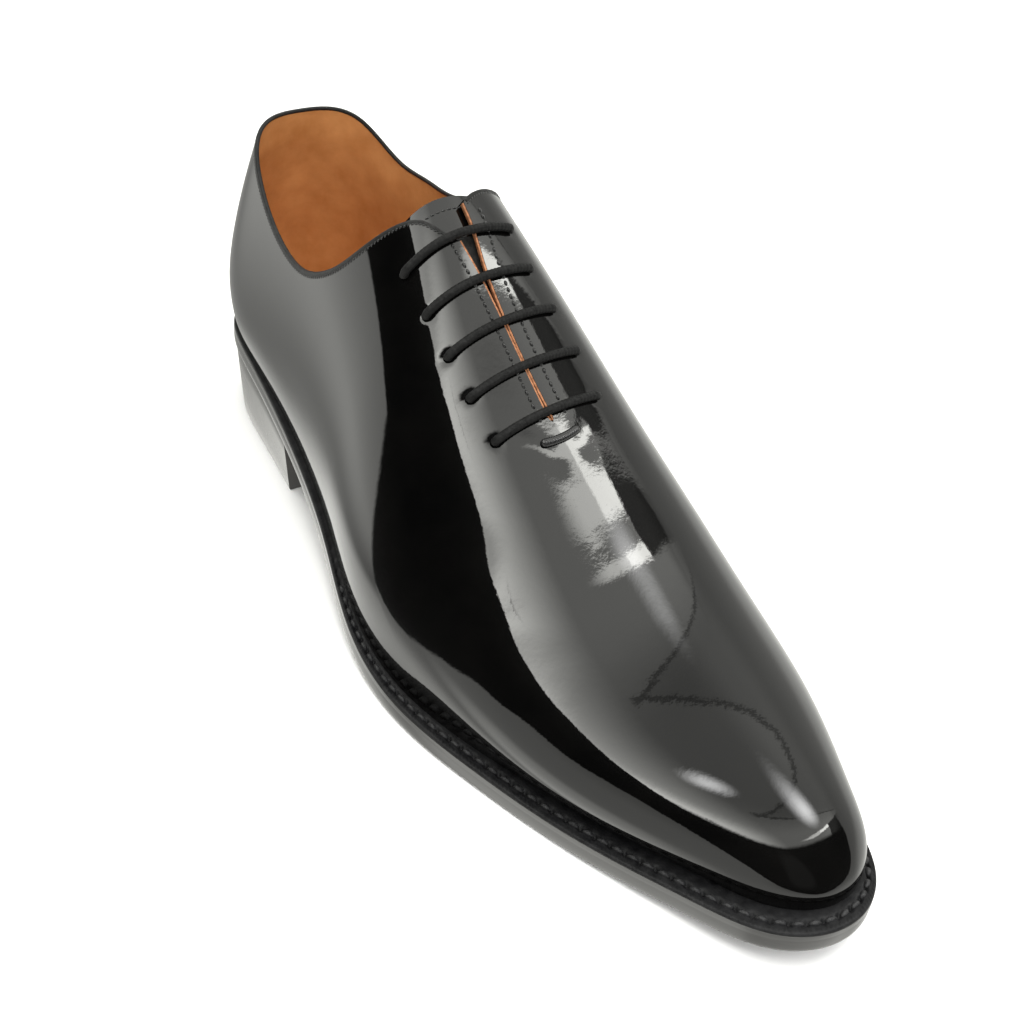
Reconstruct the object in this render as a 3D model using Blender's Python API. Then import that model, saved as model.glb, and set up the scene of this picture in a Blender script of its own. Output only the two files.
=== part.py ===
"""Patent leather oxford, one right shoe, standing on its sole.

Metres. +X runs from heel to toe, +Y toward the inner side of the foot, +Z up from the floor.
Sizes and tables below are in millimetres and degrees. A station is a distance from the back of the sole.
"""
import math

import bmesh
import bpy
import numpy as np

OBJECT_NAME = "patent_oxford"
MM = 0.001
GAP = 0.3

# Driving sizes
SOLE_LENGTH = 305.0
LAST_BACK = 1.5
LAST_TIP = 298.5
OUTSOLE_THICK = 4.0
WELT_THICK = 2.3
INSOLE_THICK = 3.2
WALL = 2.0
TONGUE_THICK = 1.6
TONGUE_GAP = 0.5
TONGUE_BACK = 108.5
TONGUE_FRONT = 183.0
THROAT_FRONT = 169.0
HEEL_BREAST = 72.0
HEEL_TAPER = 0.955
HEEL_BACK_RAKE = 5.0
LACE_RADIUS = 1.25
LACE_LIFT = 0.5
FLAT_FROM = 190.0
FLAT_TO = 222.0
TOE_SPRING = 7.5
TOE_SPRING_POWER = 2.1
EDGE_BEVEL = 0.6

# The heel curve: rearmost height, forward lean of the counter above it and below it, softness of the turn, reach
COUNTER_HEIGHT = 49.0
COUNTER_LEAN = 0.40
COUNTER_TUCK = 0.20
COUNTER_SOFT = 12.0
COUNTER_REACH = 5

# Plan of the sole: station, half breadth, centre toward the inner side
SOLE_PLAN = (
    (0, 0, 0.0),
    (12, 21.2, 1.0),
    (40, 29.0, 2.0),
    (80, 31.5, -1.5),
    (120, 34.0, -7.5),
    (150, 41.0, -9.0),
    (185, 48.0, -4.5),
    (215, 47.0, 0.5),
    (245, 40.5, 3.0),
    (275, 29.0, 3.0),
    (295, 19.0, 2.0),
    (305, 0, 1.5),
)

# Height of the outsole's underside behind the ball: station, height
ARCH = (
    (0, 25.5),
    (40, 23.4),
    (78, 18.0),
    (112, 11.0),
    (142, 4.7),
    (168, 0.8),
    (190, 0.0),
)

# Sections of the last. Girth is the height of the widest line above the feather edge, ridge the height of
# the top above the floor, shift how far the ridge leans inward, full how square each shoulder is,
# and tuck how far each wall draws in at the feather edge.
# station, half breadth, centre, girth, ridge, shift, full outer, full inner, tuck outer, tuck inner
LAST_SECTIONS = (
    (1.5, 0, 0.0, 22.5, 149, 0.0, 0.0, 0.0, 0.0, 0.0),
    (14, 22.5, 0.0, 22.0, 147, 0.2, 0.0, 0.0, 1.6, 1.6),
    (40, 29.0, 1.0, 21.0, 145, 0.8, 0.0, 0.01, 1.2, 1.5),
    (80, 31.8, -0.8, 20.2, 134.5, 2.0, 0.0, 0.05, 0.6, 3.5),
    (120, 38.0, -3.0, 20.2, 110.5, 3.0, -0.02, 0.13, 0.2, 8.5),
    (150, 44.0, -4.5, 19.8, 89.0, 4.8, -0.02, 0.14, -1.0, 8.0),
    (185, 47.0, -2.2, 18.2, 66.0, 4.2, -0.01, 0.09, -3.6, 2.0),
    (215, 45.6, 0.6, 14.7, 49.0, 3.3, 0.0, 0.03, -2.4, 0.3),
    (245, 38.6, 2.9, 10.9, 37.3, 2.6, 0.01, 0.015, -0.5, 0.0),
    (275, 24.7, 4.5, 6.5, 30.0, 1.5, 0.03, 0.03, 0.0, 0.0),
    (289, 16.9, 5.3, 3.0, 25.7, 0.6, 0.03, 0.03, 0.0, 0.0),
    (298.5, 0, 5.0, 0.4, 0, 0.0, 0.03, 0.03, 0.0, 0.0),
)

# Collar and facing edge, as the angle up the section from the widest line: station, outer, inner
COLLAR_OUTER = ((1.5, 34.5), (14, 33.6), (40, 25.6), (65, 23.4), (90, 33.3), (102.5, 49.5), (107.5, 61.5),
                (111, 71.0), (116, 78.5), (121, 84.5))
COLLAR_INNER = ((1.5, 34.5), (14, 33.2), (36, 26.8), (53, 28.5), (67, 31.0), (90, 41.5), (101, 52.0),
                (105.5, 63.5), (108, 74.5), (111.5, 85.0))

# Half width of the lacing slit: station, half width
SLIT = ((111, 3.2), (119, 3.2), (127, 2.0), (136, 1.1), (169, 0.9))

# Half width of the tongue: station, half width
TONGUE_HALF = ((108.5, 15.0), (111, 19.5), (118, 22.5), (150, 20.0), (177, 16.0), (183, 12.0))

# Lace bars: outer station, outer distance from the ridge, inner station, inner distance
LACE_BARS = (
    (120.5, 19.0, 119.0, 15.3),
    (133.0, 18.5, 130.3, 16.0),
    (144.7, 18.0, 141.2, 17.8),
    (156.0, 17.6, 152.5, 19.3),
    (167.8, 17.0, 164.6, 18.5),
)

# How finely the curved walls are faceted
UPPER_STATIONS = 50
UPPER_COLUMNS = 14
SOLE_STATIONS = 40
TONGUE_STATIONS = 16
TONGUE_COLUMNS = 12
LACE_POINTS = 11

PATENT = ((0.012, 0.012, 0.013), 0.08)
POLISHED = ((0.018, 0.017, 0.017), 0.25)
WAXED = ((0.015, 0.015, 0.016), 0.55)
TAN = ((0.42, 0.22, 0.10), 0.6)


def clear_scene():
    for item in list(bpy.data.objects):
        bpy.data.objects.remove(item, do_unlink=True)


def spline(rows, column, start_slope=None, end_slope=None):
    """A smooth curve through one column of a table; None leaves an end unbent."""
    x = np.array([row[0] for row in rows], float)
    y = np.array([row[column] for row in rows], float)
    count = len(x)
    step = np.diff(x)
    rise = np.diff(y) / step
    left = np.zeros((count, count))
    right = np.zeros(count)
    for i in range(1, count - 1):
        left[i, i - 1:i + 2] = step[i - 1], 2 * (step[i - 1] + step[i]), step[i]
        right[i] = 6 * (rise[i] - rise[i - 1])
    left[0, 0] = left[-1, -1] = 1
    if start_slope is not None:
        left[0, :2] = 2 * step[0], step[0]
        right[0] = 6 * (rise[0] - start_slope)
    if end_slope is not None:
        left[-1, -2:] = step[-1], 2 * step[-1]
        right[-1] = 6 * (end_slope - rise[-1])
    bend = np.linalg.solve(left, right)

    def value(at):
        i = int(np.clip(np.searchsorted(x, at, side="right") - 1, 0, count - 2))
        a = (x[i + 1] - at) / step[i]
        b = (at - x[i]) / step[i]
        curve = (a ** 3 - a) * bend[i] + (b ** 3 - b) * bend[i + 1]
        return a * y[i] + b * y[i + 1] + curve * step[i] ** 2 / 6

    return value


def turn_of(station, back, tip):
    """The angle that runs from 0 at the back to pi at the tip, so that round ends stay round."""
    share = (station - back) / (tip - back)
    return math.acos(min(1.0, max(-1.0, 1 - 2 * share)))


def by_turn(rows, back, tip):
    return [(turn_of(row[0], back, tip),) + tuple(row[1:]) for row in rows]


SOLE_TURNS = by_turn(SOLE_PLAN, 0, SOLE_LENGTH)
SOLE_HALF = spline(SOLE_TURNS, 1)
SOLE_CENTRE = spline(SOLE_TURNS, 2, 0, 0)
ARCH_HEIGHT = spline(ARCH, 1, None, 0)


def underside(station):
    """Height of the outsole's lower face: heel and arch, the flat at the ball, then toe spring."""
    if station < FLAT_FROM:
        return ARCH_HEIGHT(station)
    share = max(0.0, station - FLAT_TO) / (SOLE_LENGTH - FLAT_TO)
    return TOE_SPRING * share ** TOE_SPRING_POWER


def feather(station):
    """Height of the line where the upper stands on the welt."""
    return underside(station) + OUTSOLE_THICK + WELT_THICK + 2 * GAP


def ridge_rise(row):
    return 0.0 if row[0] == LAST_TIP else row[4] - row[3] - feather(row[0])


LAST_TURNS = by_turn([row[:4] + (ridge_rise(row),) + row[5:] for row in LAST_SECTIONS], LAST_BACK, LAST_TIP)
HALF = spline(LAST_TURNS, 1)
CENTRE = spline(LAST_TURNS, 2, 0, 0)
GIRTH = spline(LAST_TURNS, 3, 0, 0)
RISE = spline(LAST_TURNS, 4, 0, None)
SHIFT = spline(LAST_TURNS, 5, 0, 0)
FULL_OUTER = spline(LAST_TURNS, 6, 0, 0)
FULL_INNER = spline(LAST_TURNS, 7, 0, 0)
TUCK_OUTER = spline(LAST_TURNS, 8)
TUCK_INNER = spline(LAST_TURNS, 9)
EDGE_OUTER = spline(by_turn(COLLAR_OUTER, LAST_BACK, LAST_TIP), 1, 0, None)
EDGE_INNER = spline(by_turn(COLLAR_INNER, LAST_BACK, LAST_TIP), 1, 0, None)
SLIT_HALF = spline(SLIT, 1)
TONGUE_WIDTH = spline(TONGUE_HALF, 1)


def last_turn(station):
    return turn_of(station, LAST_BACK, LAST_TIP)


def last_station(turn):
    return LAST_BACK + (LAST_TIP - LAST_BACK) * (1 - math.cos(turn)) / 2


def low_sweep(turn):
    """How far below the widest line the wall reaches the feather edge, as an angle."""
    return math.asin(min(0.97, GIRTH(turn) / max(RISE(turn), 0.001)))


def last_point(turn, sweep):
    """A point of the last. sweep is 0 on the outer widest line, pi/2 on the ridge, pi on the inner one."""
    station = last_station(turn)
    up = math.sin(sweep)
    outer = (1 + math.cos(sweep)) / 2
    full = FULL_OUTER(turn) * outer + FULL_INNER(turn) * (1 - outer)
    swell = 1 + full * math.sin(2 * sweep) ** 2 if up > 0 else 1.0
    y = CENTRE(turn) - HALF(turn) * math.cos(sweep) * swell
    if up > 0:
        y += SHIFT(turn) * up ** 3
    else:
        tuck = TUCK_OUTER(turn) if math.cos(sweep) > 0 else -TUCK_INNER(turn)
        y += tuck * min(1.5, -up / math.sin(low_sweep(turn))) ** 3
    z = feather(station) + GIRTH(turn) + RISE(turn) * up * swell
    lean = math.hypot(z - COUNTER_HEIGHT, COUNTER_SOFT) - COUNTER_SOFT
    near_back = ((1 + math.cos(turn)) / 2) ** COUNTER_REACH
    slope = COUNTER_LEAN if z > COUNTER_HEIGHT else COUNTER_TUCK
    return np.array([station + slope * lean * near_back, y, z])


def last_normal(turn, sweep):
    """The direction out of the last."""
    small = 0.002
    if turn > math.pi - 0.02:
        return np.array([1.0, 0.0, 0.0])
    along = last_point(turn + small, sweep) - last_point(max(0.0, turn - small), sweep)
    across = last_point(turn, sweep + small) - last_point(turn, sweep - small)
    normal = np.cross(along, across)
    return normal / np.linalg.norm(normal)


def on_last(turn, sweep, lift):
    """A point raised off the last, or sunk into it where lift is below 0."""
    return last_point(turn, sweep) + lift * last_normal(turn, sweep)


def edge_sweep(turn, inner):
    """The sweep where the upper stops: collar, facing, slit, then the ridge where both halves join."""
    station = last_station(turn)
    if station >= THROAT_FRONT - 0.01:
        return math.pi / 2
    table, curve = (COLLAR_INNER, EDGE_INNER) if inner else (COLLAR_OUTER, EDGE_OUTER)
    if station <= table[-1][0]:
        edge = math.radians(curve(turn))
    else:
        edge = math.pi / 2 - SLIT_HALF(station) / HALF(turn)
    return math.pi - edge if inner else edge


def sole_edge(turn, inner, inset=0.0):
    """A point of the sole's plan, drawn in by inset square to the outline."""
    small = 0.004

    def plan(angle):
        side = 1 if inner else -1
        if angle < 0 or angle > math.pi:
            side = -side
            angle = -angle if angle < 0 else 2 * math.pi - angle
        station = SOLE_LENGTH * (1 - math.cos(angle)) / 2
        return np.array([station, SOLE_CENTRE(angle) + side * SOLE_HALF(angle)])

    along = plan(turn + small) - plan(turn - small)
    along /= np.linalg.norm(along)
    inward = np.array([along[1], -along[0]]) if inner else np.array([-along[1], along[0]])
    return plan(turn) + inset * inward


def feather_edge(turn, inner, inset):
    """A point of the upper's foot in plan, drawn in by inset."""
    def plan(angle):
        side = inner
        if angle < 0 or angle > math.pi:
            side = not side
            angle = -angle if angle < 0 else 2 * math.pi - angle
        low = low_sweep(angle)
        return last_point(angle, math.pi + low if side else -low)[:2]

    small = 0.03
    along = plan(turn + small) - plan(turn - small)
    along /= np.linalg.norm(along)
    inward = np.array([along[1], -along[0]]) if inner else np.array([-along[1], along[0]])
    return plan(turn) + inset * inward


def sole_span():
    """Half of the sum of the sole's two outermost edges, which centres the shoe on Y."""
    turns = np.linspace(0, math.pi, 200)
    outer = min(sole_edge(turn, False)[1] for turn in turns)
    inner = max(sole_edge(turn, True)[1] for turn in turns)
    return (outer + inner) / 2


MIDDLE = np.array([SOLE_LENGTH / 2, sole_span(), 0.0])


def placed(point):
    return tuple((np.asarray(point) - MIDDLE) * MM)


def material(name, look):
    colour, roughness = look
    made = bpy.data.materials.new(name)
    made.use_nodes = True
    shader = made.node_tree.nodes["Principled BSDF"]
    shader.inputs["Base Color"].default_value = (*colour, 1)
    shader.inputs["Roughness"].default_value = roughness
    return made


class Solid:
    """Collects the points and faces of one lofted piece."""

    def __init__(self):
        self.mesh = bmesh.new()

    def point(self, place):
        return self.mesh.verts.new(placed(place))

    def face(self, *corners):
        ring = list(dict.fromkeys(corners))
        if len(ring) > 2:
            self.mesh.faces.new(ring)

    def strip(self, first, second):
        """Faces between two rows of points."""
        for a, b, c, d in zip(first, first[1:], second[1:], second):
            self.face(a, b, c, d)

    def finish(self, name, look, collection):
        bmesh.ops.recalc_face_normals(self.mesh, faces=self.mesh.faces)
        data = bpy.data.meshes.new(name)
        self.mesh.to_mesh(data)
        self.mesh.free()
        made = bpy.data.objects.new(name, data)
        made.data.materials.append(material(name, look))
        collection.objects.link(made)
        return made


def upper_turns():
    """Stations of the upper, with rows on the places where its edge changes."""
    wanted = [last_turn(row[0]) for row in COLLAR_OUTER[4:] + COLLAR_INNER[6:]]
    wanted.append(last_turn(THROAT_FRONT))
    even = np.linspace(0, math.pi, UPPER_STATIONS)
    clear = [turn for turn in even if min(abs(turn - known) for known in wanted) > 0.012]
    return sorted(clear + sorted(set(wanted)))


def make_upper(collection):
    solid = Solid()
    outside = {False: [], True: []}
    inside = {False: [], True: []}
    turns = upper_turns()
    for turn in turns:
        for inner in (False, True):
            if inner and turn == 0:
                outside[True].append(outside[False][-1])
                inside[True].append(inside[False][-1])
                continue
            low = low_sweep(turn)
            start = math.pi + low if inner else -low
            end = edge_sweep(turn, inner)
            sweeps = np.linspace(start, end, UPPER_COLUMNS + 1)
            if turn == math.pi:
                if inner:
                    outside[True].append(outside[False][-1])
                    inside[True].append(inside[False][-1])
                    continue
                tip = solid.point(last_point(turn, 0))
                hollow = solid.point(on_last(turn, 0, -WALL))
                outside[False].append([tip] * len(sweeps))
                inside[False].append([hollow] * len(sweeps))
                continue
            skin = []
            lining = []
            joined = inner and end == math.pi / 2
            for column, sweep in enumerate(sweeps):
                if joined and column == UPPER_COLUMNS:
                    skin.append(outside[False][-1][-1])
                    lining.append(inside[False][-1][-1])
                    continue
                skin.append(solid.point(last_point(turn, sweep)))
                sunk = on_last(turn, sweep, -WALL)
                if column == 0:
                    sunk[2] = feather(sunk[0])
                lining.append(solid.point(sunk))
            outside[inner].append(skin)
            inside[inner].append(lining)
    throat = turns.index(last_turn(THROAT_FRONT))
    for inner in (False, True):
        skin = outside[inner]
        lining = inside[inner]
        for row in range(len(turns) - 1):
            solid.strip(skin[row], skin[row + 1])
            solid.strip(lining[row], lining[row + 1])
            solid.face(skin[row][0], lining[row][0], lining[row + 1][0], skin[row + 1][0])
            if row < throat:
                solid.face(skin[row][-1], lining[row][-1], lining[row + 1][-1], skin[row + 1][-1])
    return solid.finish("upper", PATENT, collection)


def make_tongue(collection):
    """A sheet under the slit, parallel to the last."""
    solid = Solid()
    top = WALL + TONGUE_GAP
    layers = {top: [], top + TONGUE_THICK: []}
    first = last_turn(TONGUE_BACK)
    last = last_turn(TONGUE_FRONT)
    for turn in np.linspace(first, last, TONGUE_STATIONS + 1):
        half = TONGUE_WIDTH(last_station(turn)) / HALF(turn)
        sweeps = np.linspace(math.pi / 2 - half, math.pi / 2 + half, TONGUE_COLUMNS + 1)
        for depth, rows in layers.items():
            rows.append([solid.point(on_last(turn, sweep, -depth)) for sweep in sweeps])
    upper_side, under_side = layers.values()
    for rows in (upper_side, under_side):
        for row, after in zip(rows, rows[1:]):
            solid.strip(row, after)
    for side in (0, -1):
        solid.strip([row[side] for row in upper_side], [row[side] for row in under_side])
    for end in (0, -1):
        solid.strip(upper_side[end], under_side[end])
    return solid.finish("tongue", PATENT, collection)


def ring_turns(count):
    """Turns once round a plan: back, outer side, toe, inner side."""
    angles = np.linspace(0, math.pi, count + 1)
    around = [(angle, False) for angle in angles]
    return around + [(angle, True) for angle in angles[-2:0:-1]]


def make_plate(name, look, collection, plan, levels, rows):
    """A plate with a rim: plan gives its outline at an inset, levels the insets and heights of its edge."""
    solid = Solid()
    loops = []
    for inset, height in levels:
        loop = []
        for turn, inner in rows:
            x, y = plan(turn, inner, inset)
            loop.append(solid.point((x, y, height(x))))
        loops.append(loop)
    for lower, upper in zip(loops, loops[1:]):
        solid.strip(lower + lower[:1], upper + upper[:1])
    half = len(rows) // 2
    for loop in (loops[0], loops[-1]):
        outer = loop[:half + 1]
        inner = loop[:1] + loop[:half - 1:-1]
        solid.strip(outer, inner)
    return solid.finish(name, look, collection)


def sole_rows():
    """The sole's turns, with rows on the two ends of the flat at the ball."""
    flat = [turn_of(station, 0, SOLE_LENGTH) for station in (FLAT_FROM, FLAT_TO)]
    even = np.linspace(0, math.pi, SOLE_STATIONS + 1)
    clear = [turn for turn in even if min(abs(turn - known) for known in flat) > 0.03]
    angles = sorted(clear + flat)
    return [(a, False) for a in angles] + [(a, True) for a in angles[-2:0:-1]]


def make_outsole(collection):
    def at(rise):
        return lambda station: underside(station) + rise

    levels = (
        (EDGE_BEVEL, at(0)),
        (0, at(EDGE_BEVEL)),
        (0, at(OUTSOLE_THICK - EDGE_BEVEL / 2)),
        (EDGE_BEVEL / 2, at(OUTSOLE_THICK)),
    )
    return make_plate("outsole", POLISHED, collection, sole_edge, levels, sole_rows())


def make_insole(collection):
    base = OUTSOLE_THICK + GAP

    def at(rise):
        return lambda station: underside(station) + base + rise

    inset = WALL + GAP
    levels = ((inset, at(0)), (inset, at(INSOLE_THICK)))
    return make_plate("insole", TAN, collection, feather_edge, levels, ring_turns(SOLE_STATIONS))


def make_welt(collection):
    """A strip all round, on the outsole, with its inner edge under the upper's wall."""
    solid = Solid()
    base = OUTSOLE_THICK + GAP
    top = base + WELT_THICK
    section = (
        (sole_edge, EDGE_BEVEL / 2, base),
        (sole_edge, 0, base + EDGE_BEVEL / 2),
        (sole_edge, 0, top - EDGE_BEVEL),
        (sole_edge, EDGE_BEVEL, top),
        (feather_edge, WALL, top),
        (feather_edge, WALL, base),
    )
    loops = []
    for plan, inset, rise in section:
        loop = []
        for turn, inner in ring_turns(SOLE_STATIONS):
            x, y = plan(turn, inner, inset)
            loop.append(solid.point((x, y, underside(x) + rise)))
        loops.append(loop + loop[:1])
    for loop, after in zip(loops, loops[1:] + loops[:1]):
        solid.strip(loop, after)
    return solid.finish("welt", WAXED, collection)


def make_heel(collection):
    """One block under the seat, drawn in a little toward the floor, with a flat breast."""
    solid = Solid()
    breast = turn_of(HEEL_BREAST, 0, SOLE_LENGTH)
    angles = np.linspace(0, breast, SOLE_STATIONS // 2 + 1)
    rows = [(a, False) for a in angles[::-1]] + [(a, True) for a in angles[1:]]
    floor = []
    top = []
    for turn, inner in rows:
        x, y = sole_edge(turn, inner, EDGE_BEVEL)
        top.append(solid.point((x, y, underside(x) - GAP)))
        near_back = ((1 + math.cos(turn)) / 2) ** 4
        floor.append(solid.point((x + HEEL_BACK_RAKE * near_back, y * HEEL_TAPER, 0)))
    back = len(angles) - 1
    for loop in (floor, top):
        solid.strip(loop[back::-1], loop[back:])
    solid.strip(floor, top)
    solid.face(floor[0], top[0], top[-1], floor[-1])
    return solid.finish("heel", POLISHED, collection)


def make_lace_bar(name, row, collection):
    """One straight bar of the lace, lying across the facings."""
    outer_station, outer_half, inner_station, inner_half = row
    curve = bpy.data.curves.new(name, "CURVE")
    curve.dimensions = "3D"
    curve.bevel_depth = LACE_RADIUS * MM
    curve.bevel_resolution = 2
    curve.use_fill_caps = True
    cord = curve.splines.new("POLY")
    cord.points.add(LACE_POINTS - 1)
    for point, share in zip(cord.points, np.linspace(0, 1, LACE_POINTS)):
        turn = last_turn(outer_station + share * (inner_station - outer_station))
        offset = -outer_half + share * (outer_half + inner_half)
        sweep = math.pi / 2 + offset / HALF(turn)
        point.co = (*placed(on_last(turn, sweep, LACE_RADIUS + LACE_LIFT)), 1)
    curve.materials.append(material(name, WAXED))
    bar = bpy.data.objects.new(name, curve)
    collection.objects.link(bar)
    return bar


def build():
    clear_scene()
    collection = bpy.data.collections.new(OBJECT_NAME)
    bpy.context.scene.collection.children.link(collection)
    make_outsole(collection)
    make_welt(collection)
    make_insole(collection)
    make_heel(collection)
    make_upper(collection)
    make_tongue(collection)
    for number, row in enumerate(LACE_BARS, 1):
        make_lace_bar(f"lace_bar_{number}", row, collection)


build()
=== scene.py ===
"""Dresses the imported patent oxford: leather, lining, lace, stitching, sole, and a plain pale studio.

Metres in Blender. Sizes and tables below are in millimetres and degrees, as in the part's source.
A station is a distance from the back of the sole. A right shoe: +X to the toe, +Y to the inner side, +Z up.
"""
import math

import bpy
import numpy as np
from mathutils import Matrix, Vector


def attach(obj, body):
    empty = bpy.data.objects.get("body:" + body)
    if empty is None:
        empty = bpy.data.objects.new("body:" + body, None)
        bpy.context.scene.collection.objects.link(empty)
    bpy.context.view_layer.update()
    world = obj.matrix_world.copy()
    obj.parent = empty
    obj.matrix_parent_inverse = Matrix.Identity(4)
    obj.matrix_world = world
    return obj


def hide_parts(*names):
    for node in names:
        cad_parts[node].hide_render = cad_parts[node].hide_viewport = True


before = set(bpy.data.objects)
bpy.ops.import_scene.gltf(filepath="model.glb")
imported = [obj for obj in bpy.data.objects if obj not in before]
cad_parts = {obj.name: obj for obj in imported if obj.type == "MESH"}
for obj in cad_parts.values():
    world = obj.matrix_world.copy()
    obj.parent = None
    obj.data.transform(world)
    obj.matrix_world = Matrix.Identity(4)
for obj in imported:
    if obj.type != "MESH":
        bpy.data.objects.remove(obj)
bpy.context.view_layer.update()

MM = 0.001
PI = math.pi

# Driving sizes, the same as in the part's source
GAP = 0.3
SOLE_LENGTH = 305.0
LAST_BACK = 1.5
LAST_TIP = 298.5
OUTSOLE_THICK = 4.0
WELT_THICK = 2.3
INSOLE_THICK = 3.2
WALL = 2.0
TONGUE_THICK = 1.6
TONGUE_GAP = 0.5
TONGUE_BACK = 108.5
TONGUE_FRONT = 183.0
THROAT_FRONT = 169.0
HEEL_BREAST = 72.0
HEEL_TAPER = 0.955
HEEL_BACK_RAKE = 5.0
LACE_RADIUS = 1.25
FLAT_FROM = 190.0
FLAT_TO = 222.0
TOE_SPRING = 7.5
TOE_SPRING_POWER = 2.1
EDGE_BEVEL = 0.6
COUNTER_HEIGHT = 49.0
COUNTER_LEAN = 0.40
COUNTER_TUCK = 0.20
COUNTER_SOFT = 12.0
COUNTER_REACH = 5

# Plan of the sole: station, half breadth, centre toward the inner side
SOLE_PLAN = (
    (0, 0, 0.0),
    (12, 21.2, 1.0),
    (40, 29.0, 2.0),
    (80, 31.5, -1.5),
    (120, 34.0, -7.5),
    (150, 41.0, -9.0),
    (185, 48.0, -4.5),
    (215, 47.0, 0.5),
    (245, 40.5, 3.0),
    (275, 29.0, 3.0),
    (295, 19.0, 2.0),
    (305, 0, 1.5),
)

# Height of the outsole's underside behind the ball: station, height
ARCH = ((0, 25.5), (40, 23.4), (78, 18.0), (112, 11.0), (142, 4.7), (168, 0.8), (190, 0.0))

# Sections of the last: station, half breadth, centre, girth, ridge, shift,
# fullness outer and inner, tuck of the foot outer and inner
LAST_SECTIONS = (
    (1.5, 0, 0.0, 22.5, 149, 0.0, 0.0, 0.0, 0.0, 0.0),
    (14, 22.5, 0.0, 22.0, 147, 0.2, 0.0, 0.0, 1.6, 1.6),
    (40, 29.0, 1.0, 21.0, 145, 0.8, 0.0, 0.01, 1.2, 1.5),
    (80, 31.8, -0.8, 20.2, 134.5, 2.0, 0.0, 0.05, 0.6, 3.5),
    (120, 38.0, -3.0, 20.2, 110.5, 3.0, -0.02, 0.13, 0.2, 8.5),
    (150, 44.0, -4.5, 19.8, 89.0, 4.8, -0.02, 0.14, -1.0, 8.0),
    (185, 47.0, -2.2, 18.2, 66.0, 4.2, -0.01, 0.09, -3.6, 2.0),
    (215, 45.6, 0.6, 14.7, 49.0, 3.3, 0.0, 0.03, -2.4, 0.3),
    (245, 38.6, 2.9, 10.9, 37.3, 2.6, 0.01, 0.015, -0.5, 0.0),
    (275, 24.7, 4.5, 6.5, 30.0, 1.5, 0.03, 0.03, 0.0, 0.0),
    (289, 16.9, 5.3, 3.0, 25.7, 0.6, 0.03, 0.03, 0.0, 0.0),
    (298.5, 0, 5.0, 0.4, 0, 0.0, 0.03, 0.03, 0.0, 0.0),
)

# Collar and facing edge, as the angle up the section from the widest line: station, angle
COLLAR_OUTER = ((1.5, 34.5), (14, 33.6), (40, 25.6), (65, 23.4), (90, 33.3), (102.5, 49.5), (107.5, 61.5),
                (111, 71.0), (116, 78.5), (121, 84.5))
COLLAR_INNER = ((1.5, 34.5), (14, 33.2), (36, 26.8), (53, 28.5), (67, 31.0), (90, 41.5), (101, 52.0),
                (105.5, 63.5), (108, 74.5), (111.5, 85.0))

# Half width of the lacing slit, and of the tongue: station, half width
SLIT = ((111, 3.2), (119, 3.2), (127, 2.0), (136, 1.1), (169, 0.9))
TONGUE_HALF = ((108.5, 15.0), (111, 19.5), (118, 22.5), (150, 20.0), (177, 16.0), (183, 12.0))

# Lace bars: outer station, outer distance from the ridge, inner station, inner distance
LACE_BARS = (
    (120.5, 19.0, 119.0, 15.3),
    (133.0, 18.5, 130.3, 16.0),
    (144.7, 18.0, 141.2, 17.8),
    (156.0, 17.6, 152.5, 19.3),
    (167.8, 17.0, 164.6, 18.5),
)

# Hollows of the leather round the lace holes
EYELET_DEPTH = 0.4
EYELET_BREADTH = 1.2

# Soft troughs and ridges of the leather: places as station and distance inward of the ridge, breadth, height
CREASES = (
    (((172.0, -9.0), (177.0, -5.0)), 3.0, -0.12),
    (((172.0, 8.5), (176.0, 6.0)), 3.0, -0.12),
    (((203.0, -44.0), (210.0, -29.0), (212.0, -20.0), (207.0, 0.0), (202.0, 14.0)), 7.0, -0.11),
    (((156.0, -34.0), (180.0, -37.0)), 8.0, -0.35),
    (((192.0, -46.0), (218.0, -52.0)), 12.0, 0.35),
)

# The wall pared down toward the topline: share taken off, how far down, and the stations where it fades out
PARED_SHARE = 0.5
PARED_DEPTH = 14.0
PARED_FADE = (94, 110)

# Rows of stitches: pitch, length and radius of each stitch
COLLAR_STITCH = (1.25, 1.2, 0.27)
FACING_STITCH = (2.1, 1.9, 0.52)
TONGUE_STITCH = (2.0, 1.5, 0.3)
WELT_STITCH = (4.5, 3.3, 0.8)
STITCH_LIFT = 0.06


# The form of the last and the sole
def curve_through(rows, column, start_slope=None, end_slope=None):
    """A smooth curve through one column of a table; None leaves an end unbent."""
    x = np.array([row[0] for row in rows], float)
    y = np.array([row[column] for row in rows], float)
    count = len(x)
    step = np.diff(x)
    rise = np.diff(y) / step
    left = np.zeros((count, count))
    right = np.zeros(count)
    for i in range(1, count - 1):
        left[i, i - 1:i + 2] = step[i - 1], 2 * (step[i - 1] + step[i]), step[i]
        right[i] = 6 * (rise[i] - rise[i - 1])
    left[0, 0] = left[-1, -1] = 1
    if start_slope is not None:
        left[0, :2] = 2 * step[0], step[0]
        right[0] = 6 * (rise[0] - start_slope)
    if end_slope is not None:
        left[-1, -2:] = step[-1], 2 * step[-1]
        right[-1] = 6 * (end_slope - rise[-1])
    bend = np.linalg.solve(left, right)

    def value(at):
        at = np.asarray(at, float)
        i = np.clip(np.searchsorted(x, at, side="right") - 1, 0, count - 2)
        a = (x[i + 1] - at) / step[i]
        b = (at - x[i]) / step[i]
        sag = (a ** 3 - a) * bend[i] + (b ** 3 - b) * bend[i + 1]
        return a * y[i] + b * y[i + 1] + sag * step[i] ** 2 / 6

    return value


def turn_of(station, back, tip):
    share = (np.asarray(station, float) - back) / (tip - back)
    return np.arccos(np.clip(1 - 2 * share, -1, 1))


def by_turn(rows, back, tip):
    return [(float(turn_of(row[0], back, tip)),) + tuple(row[1:]) for row in rows]


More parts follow.
